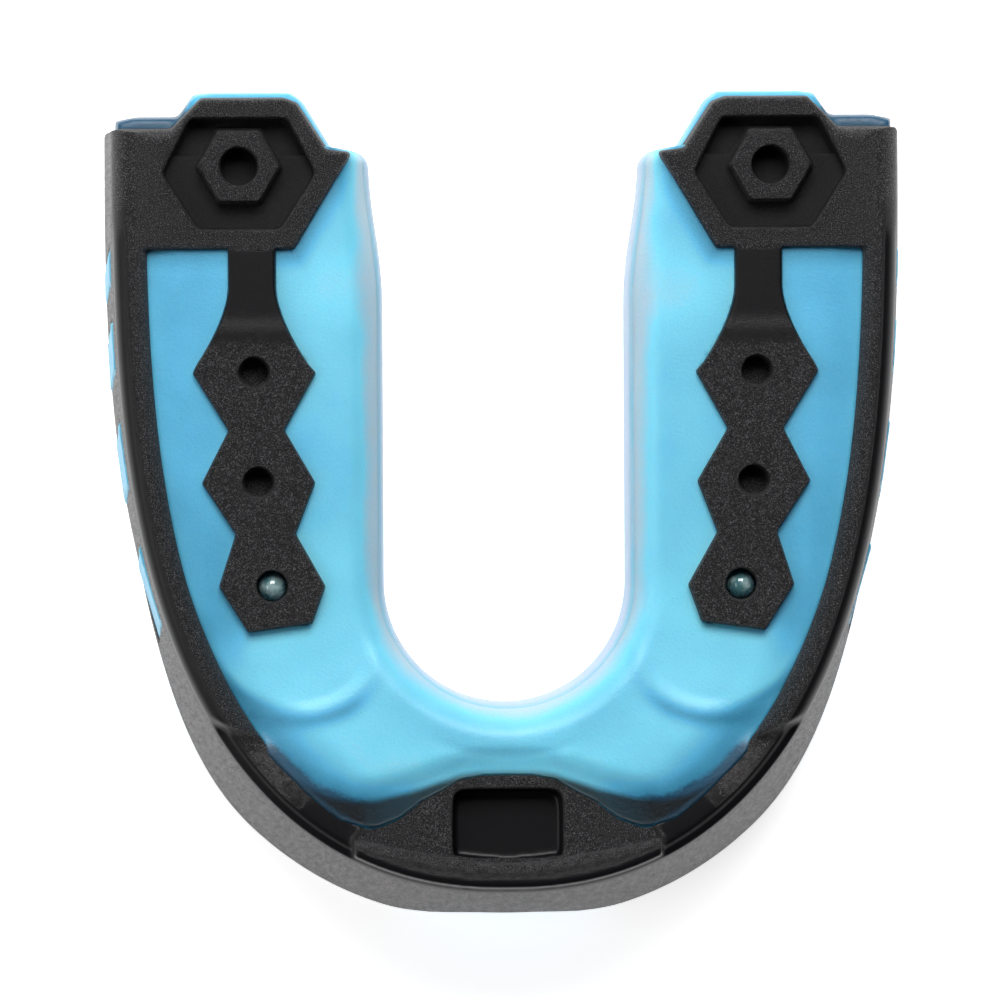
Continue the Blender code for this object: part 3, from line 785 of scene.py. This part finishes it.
def make_plug(side):
    """Small dome of gel that stands up in the strip's through hole."""
    x0, y0, _ = HEXES[-1]
    bm = bmesh.new()
    bmesh.ops.create_uvsphere(bm, u_segments=48, v_segments=24, radius=STRIP_HOLE_R * 0.97)
    for v in bm.verts:
        v.co = (side * x0 + v.co.x, y0 + v.co.y, 18.0 * MM + v.co.z * 1.1)
    mesh = bpy.data.meshes.new("plug")
    bm.to_mesh(mesh)
    bm.free()
    mesh.shade_smooth()
    return link("plug", mesh)


def liner_profile(s):
    """Sections of the trough: up the labial side, over the lip, down the lingual side, and back inside."""
    w = s.width[:, None]
    c = SimpleNamespace(along=s.along[:, None])
    rim = rim_z(s)[:, None] + 0.8 * MM
    back = (LINGUAL_RIM_Z + 3.0 * MM * smooth((s.y - 20.0 * MM) / (10.0 * MM)))[:, None]
    z = rim + (LINER_Z - rim) * np.linspace(0.05, 1.0, 10)[None, :]
    outside = (wall_d(c, z) + WALL - 0.1 * MM, z)
    t = np.linspace(0.0, 1.0, 7)[None, :]
    w = w - LINGUAL_INSET
    lip_d = np.concatenate([w - 1.65 * MM, w - 1.4 * MM + 1.4 * MM * np.sin(t * math.pi / 2.0)], axis=1)
    lip_z = 16.4 * MM + 1.2 * MM * np.cos(t * math.pi / 2.0)
    lip_z = np.concatenate([[[LINER_Z]], lip_z], axis=1)
    z_back = np.linspace(1.0, 0.0, 8)[None, :] * (16.0 * MM - back - 0.8 * MM) + back + 0.8 * MM
    lingual = (w + 0.15 * MM * np.sin(math.pi * (z_back - back) / (17.0 * MM - back)), z_back)
    turn = np.linspace(0.0, math.pi, 7)[None, 1:-1]
    foot = (w - 0.9 * MM + 0.9 * MM * np.cos(turn), back + 0.8 * MM - 0.8 * MM * np.sin(turn))
    z_up = back + 0.8 * MM + (FLOOR_Z - LINER_BEND - back - 0.8 * MM) * np.linspace(0.0, 1.0, 6)[None, :]
    up = (w - 1.8 * MM - (LINGUAL_WALL - 1.8 * MM) * np.linspace(0.0, 1.0, 6)[None, :], z_up)
    q = np.linspace(0.0, math.pi / 2.0, 6)[None, 1:]
    level = FLOOR_Z - LINER_BEND + 0.0 * w
    bend = (w - LINGUAL_WALL - LINER_BEND * (1.0 - np.cos(q)), level + LINER_BEND * np.sin(q))
    inner_top = wall_d(c, 12.4 * MM) + WALL + LABIAL_LINER
    bend2 = (inner_top + LINER_BEND * (1.0 - np.sin(q)), level + LINER_BEND * np.cos(q))
    z_down = 12.4 * MM + (rim + 0.6 * MM - 12.4 * MM) * np.linspace(0.0, 1.0, 9)[None, :]
    inside = (wall_d(c, z_down) + WALL + LABIAL_LINER, z_down)
    middle = wall_d(c, rim) + WALL + LABIAL_LINER / 2.0
    toe = (middle + LABIAL_LINER / 2.0 * np.cos(turn), rim + 0.6 * MM - 0.6 * MM * np.sin(turn))
    parts = [outside, (lip_d, lip_z + 0.0 * w), lingual, foot, up, bend, bend2, inside, toe]
    return np.concatenate([p[0] for p in parts], axis=1), np.concatenate([p[1] for p in parts], axis=1)


def tongue_height(x, y):
    """Top of the liner's tongue and corner flash, which show behind a right-hand heel block."""
    body = TONGUE_Z - edge_round(inside_polygon(x, y, in_mm(TONGUE)), 0.5 * MM)
    flash = FLASH_Z - edge_round(inside_polygon(x, y, in_mm(CORNER_FLASH)), 0.4 * MM)
    return np.maximum(body, flash)


def make_liner():
    """Liner's skin: trough, tongues behind the heels, and pads in the windows."""
    s = arch(LINER_REAR, 60, 90)
    trough = loft("trough", s, *liner_profile(s))
    tongue = relief("tongue", TONGUE_BOX, TONGUE_GRID, tongue_height, FLOOR_Z + 0.1 * MM)
    other = mirrored(tongue, "tongue_left")
    pads = window_boxes(-0.1 * MM, (WINDOW_PAD_D, WALL + MM), WINDOW_PAD_TILT)
    return fuse("liner_skin", [trough, tongue, other] + pads, LINER_VOXEL, 4, LINER_FACES)


# ---------------------------------------------------------------- materials


def new_material(name):
    """Material, its node tree, and its shader."""
    found = bpy.data.materials.new(name)
    found.use_nodes = True
    return found, found.node_tree, found.node_tree.nodes["Principled BSDF"]


def noise(tree, scale, detail, rough, tall=1.0):
    """Noise on the object's coordinates, with its cells drawn out tall times along Z."""
    where = tree.nodes.new("ShaderNodeTexCoord")
    squeeze = tree.nodes.new("ShaderNodeVectorMath")
    squeeze.operation = "MULTIPLY"
    squeeze.inputs[1].default_value = (1.0, 1.0, 1.0 / tall)
    found = tree.nodes.new("ShaderNodeTexNoise")
    found.inputs["Scale"].default_value = scale
    found.inputs["Detail"].default_value = detail
    found.inputs["Roughness"].default_value = rough
    tree.links.new(where.outputs["Object"], squeeze.inputs[0])
    tree.links.new(squeeze.outputs["Vector"], found.inputs["Vector"])
    return found.outputs["Fac"]


def ramp(tree, source, stops):
    """Colour by a value: the stops' places and colours, the two outermost of them first."""
    found = tree.nodes.new("ShaderNodeValToRGB")
    ends = found.color_ramp.elements
    for i, (at, colour) in enumerate(stops):
        stop = ends[i] if i < 2 else ends.new(at)
        stop.position = at
        stop.color = (*colour, 1.0)
    tree.links.new(source, found.inputs["Fac"])
    return found.outputs["Color"]


def ranged(tree, source, low, high, start=0.0, end=1.0):
    """Maps a value that runs from start to end onto low to high."""
    found = tree.nodes.new("ShaderNodeMapRange")
    found.inputs["From Min"].default_value = start
    found.inputs["From Max"].default_value = end
    found.inputs["To Min"].default_value = low
    found.inputs["To Max"].default_value = high
    tree.links.new(source, found.inputs["Value"])
    return found.outputs["Result"]


def combine(tree, operation, *values):
    """Arithmetic on sockets and constants."""
    found = tree.nodes.new("ShaderNodeMath")
    found.operation = operation
    for socket, value in zip(found.inputs, values):
        if isinstance(value, float):
            socket.default_value = value
        else:
            tree.links.new(value, socket)
    return found.outputs["Value"]


def mixed(tree, factor, colour, other):
    """A colour socket mixed with a constant colour by a factor."""
    found = tree.nodes.new("ShaderNodeMix")
    found.data_type = "RGBA"
    found.inputs["B"].default_value = (*other, 1.0)
    tree.links.new(factor, found.inputs["Factor"])
    tree.links.new(colour, found.inputs["A"])
    return found.outputs["Result"]


def attribute(tree, name):
    """Value painted on the vertices."""
    found = tree.nodes.new("ShaderNodeAttribute")
    found.attribute_name = name
    return found.outputs["Fac"]


def bumped(tree, bsdf, height, distance, strength):
    """Bump whose strength is a constant or a socket."""
    found = tree.nodes.new("ShaderNodeBump")
    found.inputs["Distance"].default_value = distance
    if isinstance(strength, float):
        found.inputs["Strength"].default_value = strength
    else:
        tree.links.new(strength, found.inputs["Strength"])
    tree.links.new(height, found.inputs["Height"])
    tree.links.new(found.outputs["Normal"], bsdf.inputs["Normal"])


def black_rubber(name, glint_colour):
    """Moulded elastomer, whose gloss, spark-eroded grain and scuffing follow rough, grain and scuff; the
    grain's light specks in the colour are painted glints.
    """
    found, tree, bsdf = new_material(name)
    fine = noise(tree, 10500.0, 2.0, 0.7)
    grain = attribute(tree, "grain")
    grain_glint = combine(tree, "MULTIPLY", fine, grain)
    colour = ramp(tree, grain_glint, [(0.52, RUBBER_DARK), (0.72, glint_colour)])
    worn = ranged(tree, noise(tree, 2200.0, 5.0, 0.75, 12.0), 0.0, 1.0, 0.36, 0.66)
    scuff = combine(tree, "MULTIPLY", attribute(tree, "scuff"), worn)
    tree.links.new(mixed(tree, scuff, colour, SCUFFED), bsdf.inputs["Base Color"])
    tree.links.new(ranged(tree, grain_glint, 0.2, 0.9), bsdf.inputs["Specular IOR Level"])
    tree.links.new(attribute(tree, "rough"), bsdf.inputs["Roughness"])
    bumped(tree, bsdf, fine, 0.3 * MM, grain)
    return found


def gel(name):
    """Soft translucent gel: tint sets its colour, painted light and shade included, a second painted value
    greys it with painted shade at the inner wall, and film sets how clear it is.
    """
    found, tree, bsdf = new_material(name)
    fine = noise(tree, 4200.0, 3.0, 0.65)
    film = attribute(tree, "film")
    shade = combine(tree, "MULTIPLY_ADD", fine, 0.12, attribute(tree, "tint"))
    shade = combine(tree, "MULTIPLY_ADD", noise(tree, 160.0, 2.0, 0.5), 0.3, shade)
    shade = combine(tree, "SUBTRACT", shade, 0.15)
    colour = ramp(tree, shade, GEL_STOPS)
    tree.links.new(mixed(tree, attribute(tree, "lingual_shade"), colour, LINGUAL_WALL_SHADE), bsdf.inputs["Base Color"])
    tree.links.new(ranged(tree, film, 0.5, 0.12), bsdf.inputs["Specular IOR Level"])
    tree.links.new(ranged(tree, film, 0.08, 0.96), bsdf.inputs["Transmission Weight"])
    tree.links.new(ranged(tree, fine, 0.34, 0.5), bsdf.inputs["Roughness"])
    bsdf.inputs["IOR"].default_value = 1.45
    bsdf.inputs["Subsurface Weight"].default_value = 0.5
    bsdf.inputs["Subsurface Radius"].default_value = (0.4, 1.0, 1.3)
    bsdf.inputs["Subsurface Scale"].default_value = 1.5 * MM
    bumped(tree, bsdf, fine, 0.05 * MM, 0.6)
    return found


def glossy_gel():
    """Polished gel, clear enough to show the dark hole round it."""
    found, tree, bsdf = new_material("gel_plug")
    colour = ramp(tree, noise(tree, 900.0, 2.0, 0.5), [(0.4, PLUG_DARK), (0.62, PLUG_PALE)])
    tree.links.new(colour, bsdf.inputs["Base Color"])
    bsdf.inputs["Roughness"].default_value = 0.04
    bsdf.inputs["IOR"].default_value = 1.5
    bsdf.inputs["Transmission Weight"].default_value = 0.5
    bsdf.inputs["Coat Weight"].default_value = 0.6
    return found


def light_table():
    """Matt white that also glows."""
    found, _, bsdf = new_material("floor_white")
    bsdf.inputs["Base Color"].default_value = (FLOOR_WHITE, FLOOR_WHITE, FLOOR_WHITE, 1.0)
    bsdf.inputs["Roughness"].default_value = 0.9
    bsdf.inputs["Emission Color"].default_value = (1.0, 1.0, 1.0, 1.0)
    bsdf.inputs["Emission Strength"].default_value = FLOOR_GLOW
    return found


# ---------------------------------------------------------------- assembly


def add_piece(ob, name, node_name, material):
    """Names a piece, gives it its material, and puts it in place of its CAD node."""
    ob.name = name
    ob.data.name = name
    ob.data.materials.clear()
    ob.data.materials.append(material)
    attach(ob, "root")
    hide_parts(node_name)


def paint_rubber(ob):
    """Grain and gloss: moulded grain on the flats, smoother flank, valley, recess, neck and outer wall."""
    x, y, z = points(ob)
    a = np.abs(x)
    degrees = front_degrees(x, y)
    radial = np.where(y > ARCH_Y, edge_half(y) - a, edge_radius_at(x, y) - np.hypot(x, y - ARCH_Y))
    outside = smooth((0.1 * MM - radial) / (0.3 * MM)) * smooth((18.6 * MM - z) / (0.5 * MM))
    flank = smooth((1.3 * MM - radial) / (0.4 * MM)) * smooth((24.0 * MM - y) / (3.0 * MM))
    valley = smooth((degrees - VALLEY_DEG[0]) / 2.0) * smooth((VALLEY_DEG[1] - degrees) / 2.0)
    recess = 1.0 * ((np.hypot(a - HEEL_X, y - RECESS_Y) < 6.3 * MM) & (z < 19.3 * MM))
    port = (a < PORT_HALF + 0.2 * MM) & (y < PORT_Y[1]) & (z < 18.4 * MM) & (radial > 1.5 * MM)
    neck = smooth((y - 12.5 * MM) / (3.0 * MM)) * (y < 20.4 * MM) * (np.abs(a - NECK_X) < 3.4 * MM)
    smoothed = [flank * (1.0 - outside), valley * (1.0 - outside), 0.5 * recess, 1.0 * port, neck]
    sleek = np.max(np.stack(smoothed), axis=0)
    # grain also sets how many painted glints speck the colour.
    paint(ob, "grain", 0.1 + 0.9 * (1.0 - sleek) * (1.0 - 0.3 * outside))
    paint(ob, "rough", (0.55 - 0.17 * sleek + 0.3 * recess) * (1.0 - outside) + 0.45 * outside)
    flat = smooth((degrees - 32.0) / 4.0) * smooth((VALLEY_DEG[0] - degrees) / 4.0) * (1.0 - outside)
    ridge = smooth((z - 19.0 * MM) / (0.5 * MM)) * smooth((-24.0 * MM - y) / (2.0 * MM))
    inner = smooth((radial - 1.5 * MM) / (0.4 * MM)) * smooth((y - 2.0 * MM) / (8.0 * MM))
    inner = inner * (z > 18.9 * MM) * (radial < 4.0 * MM)
    rear = smooth((y - 27.0 * MM) / (4.0 * MM)) * smooth((z - 17.0 * MM) / (1.0 * MM))
    marks = [0.6 * flat, 0.3 * ridge, 0.1 * inner, 0.08 * rear, outside]
    paint(ob, "scuff", np.max(np.stack(marks), axis=0) * (1.0 - sleek))


def paint_pad(ob):
    """Colour of the pad, with its painted light and shade, and clearness where it thins to a film over the
    front floor.
    """
    x, y, _ = points(ob)
    over = floor_rear(x) - y
    degrees = front_degrees(x, y)
    front = smooth((degrees - 32.0) / 4.0)
    centre = smooth((degrees - 55.0) / 15.0)
    thin = smooth((over + 2.2 * MM) / (2.4 * MM)) * front * (1.0 - 0.75 * centre)
    edge = 1.0 - smooth((gel_inset(x, y) - 0.05 * MM) / (0.1 * MM))
    paint(ob, "tint", pad_tint_light_and_shade(x, y) * (1.0 - 0.9 * thin) - 0.14 * thin)
    paint(ob, "lingual_shade", np.zeros_like(x))
    paint(ob, "film", smooth((over + 0.5 * MM) / (0.8 * MM)) * front * (1.0 - 0.35 * edge))


def paint_liner(ob):
    """Colour of the liner: paler at the inner edge, greyed there by painted shade on its inner wall, and dark
    in the corner flash.
    """
    x, y, z = points(ob)
    share = lingual_share(x, y)
    flash = smooth((np.abs(x) - 24.5 * MM) / (1.5 * MM)) * smooth((y - 28.5 * MM) / MM)
    paint(ob, "tint", (0.35 + 0.5 * share) * (1.0 - flash) - 0.1 * flash)
    # Painted shade greying the inner wall, strongest low down on it.
    paint(ob, "lingual_shade", share * (0.25 + 0.7 * smooth((17.2 * MM - z) / (1.2 * MM))))
    paint(ob, "film", np.zeros_like(x))


def build():
    frame_black = black_rubber("frame_rubber", FRAME_GLINT)
    strip_black = black_rubber("strip_rubber", STRIP_GLINT)
    blue = gel("gel_blue")
    clear = gel("liner_gel")
    polished = glossy_gel()

    skin = make_frame()
    paint_rubber(skin)
    add_piece(skin, "shock_frame_skin", "shock_frame", frame_black)

    for strip, word in zip(make_strips(), ("right", "left")):
        paint_rubber(strip)
        add_piece(strip, f"bite_strip_{word}_skin", f"bite_strip_{word}", strip_black)

    pad = make_pad()
    paint_pad(pad)
    add_piece(pad, "gel_pad_body", "gel_pad", blue)
    for side, word in ((1, "right"), (-1, "left")):
        add_piece(make_plug(side), f"gel_plug_{word}", "gel_pad", polished)

    liner = make_liner()
    paint_liner(liner)
    add_piece(liner, "fit_liner_body", "fit_liner", clear)


def inner_reach(x, y):
    """Distance out from the inner edge."""
    return np.where(y > ARCH_Y, np.abs(x), np.hypot(x, y - ARCH_Y)) - INNER_HALF


def lingual_share(x, y):
    """1 at the inner edge, 0 a little way out from it."""
    spread = INNER_SPREAD * smooth((y - HEEL_FROM_Y) / (LINER_REAR - HEEL_FROM_Y))
    band = 0.2 * MM + 0.5 * MM * smooth((y - ARCH_Y + 3.0 * MM) / (9.0 * MM))
    return 1.0 - smooth((inner_reach(x, y) - spread - band) / (2.4 * MM))


def pad_tint_light_and_shade(x, y):
    """Colour of the pad: paler towards the tongue, with painted light that pales the basins, a band round the
    front and a patch by the necks, and painted shade that deepens the labial slope, the gel against the heel
    blocks and just outside the basins.
    """
    outer = 0.22 + 0.12 * smooth((y + 8.0 * MM) / (24.0 * MM))
    # The bump round y 17.5 mm is a painted highlight on the inner leg by the neck.
    inner = 0.54 + 0.22 * np.exp(-(((y - 17.5 * MM) / (4.0 * MM)) ** 2))
    leg = outer + (inner - outer) * (1.0 - smooth((np.abs(x) - 14.0 * MM) / (8.5 * MM)))
    reach = inner_reach(x, y)
    # The paler band some 7 to 9 mm out from the inner edge is a painted highlight on the raised front arc.
    front = 0.6 + 0.12 * smooth((reach - 2.5 * MM) / (4.5 * MM))
    front = front - 0.1 * smooth((reach - 9.0 * MM) / (4.0 * MM))
    share = smooth((ARCH_Y - y + 6.0 * MM) / (8.0 * MM) - smooth((np.abs(x) - 17.0 * MM) / (6.0 * MM)))
    base = leg + (front - leg) * share
    # Painted light: the basins' floors paler.
    base = base + (0.68 - base) * basin(x, y) * share * smooth((22.5 * MM - np.abs(x)) / (5.0 * MM))
    # Painted shade: deeper where the gel slopes down to the labial side.
    base = base * (1.0 - 0.88 * labial_slope(x, y) * (1.0 - basin(x, y)))
    # Painted shade against the heel blocks' flanks and just outside the basins' front edges.
    shade = np.maximum(heel_shade(x, y), 0.9 * basin_rim_shade(x, y))
    base = base * (1.0 - 0.85 * shade)
    return base + (1.0 - base) * lingual_share(x, y) * 0.95


def heel_shade(x, y):
    """1 against the flank of a heel block, fading within a millimetre or so of it."""
    gap = -heel_depth(np.abs(x), y)
    return (1.0 - smooth(gap / (2.0 * MM))) * smooth((y - 17.0 * MM) / MM)


def basin_rim_shade(x, y):
    """1 just outside the front edge of a basin, where painted shade falls."""
    fade = smooth((-9.0 * MM - y) / (4.0 * MM)) * smooth((np.abs(x) - 9.0 * MM) / (4.0 * MM))
    return np.exp(-(((basin_reach(x, y) - 1.16) / 0.12) ** 2)) * fade


def area_light(name, place, size, watts):
    """Soft box that faces the guard."""
    light = bpy.data.lights.new(name, "AREA")
    light.shape = "RECTANGLE"
    light.size, light.size_y = size
    light.energy = watts
    ob = bpy.data.objects.new(name, light)
    ob.location = place
    ob.rotation_euler = (Vector(AIM) - Vector(place)).to_track_quat("-Z", "Y").to_euler()
    bpy.context.scene.collection.objects.link(ob)


def stage():
    """Floor, sky and soft boxes."""
    scene = bpy.context.scene
    scene.view_settings.view_transform = "Standard"
    mesh = bpy.data.meshes.new("floor")
    corners = [(FLOOR_HALF * x, FLOOR_HALF * y, 0.0) for x, y in ((-1, -1), (1, -1), (1, 1), (-1, 1))]
    mesh.from_pydata(corners, [], [(0, 1, 2, 3)])
    floor = bpy.data.objects.new("floor", mesh)
    floor.location.z = -0.02 * MM
    scene.collection.objects.link(floor)
    mesh.materials.append(light_table())
    add_world(scene)
    area_light("rear_softbox", (0.0, 0.42, 0.55), (0.5, 0.35), 6.3)
    area_light("left_softbox", (-0.6, -0.1, 0.45), (0.4, 0.4), 1.6)


def add_world(scene):
    """Soft tent of light, brightest near the horizon and dim overhead."""
    world = bpy.data.worlds.new("tent")
    world.use_nodes = True
    tree = world.node_tree
    where = tree.nodes.new("ShaderNodeTexCoord")
    split = tree.nodes.new("ShaderNodeSeparateXYZ")
    tree.links.new(where.outputs["Generated"], split.inputs["Vector"])
    level = ranged(tree, split.outputs["Z"], HORIZON, ZENITH)
    tree.links.new(level, tree.nodes["Background"].inputs["Strength"])
    scene.world = world


def add_camera():
    """Camera above the bite side, a little to the left and slightly rolled."""
    data = bpy.data.cameras.new("camera")
    data.sensor_width = 36.0
    data.lens = data.sensor_width * CAMERA_DISTANCE / VIEW_WIDTH
    data.clip_start = 0.01
    camera = bpy.data.objects.new("camera", data)
    target = Vector(CAMERA_AIM)
    place = target + Vector((CAMERA_SIDE, 0.0, CAMERA_DISTANCE))
    back = (place - target).normalized()
    up = Vector((math.sin(CAMERA_ROLL), math.cos(CAMERA_ROLL), 0.0))
    right = up.cross(back).normalized()
    up = back.cross(right)
    camera.matrix_world = Matrix.Translation(place) @ Matrix((right, up, back)).transposed().to_4x4()
    bpy.context.scene.collection.objects.link(camera)
    bpy.context.scene.camera = camera


build()
stage()
add_camera()
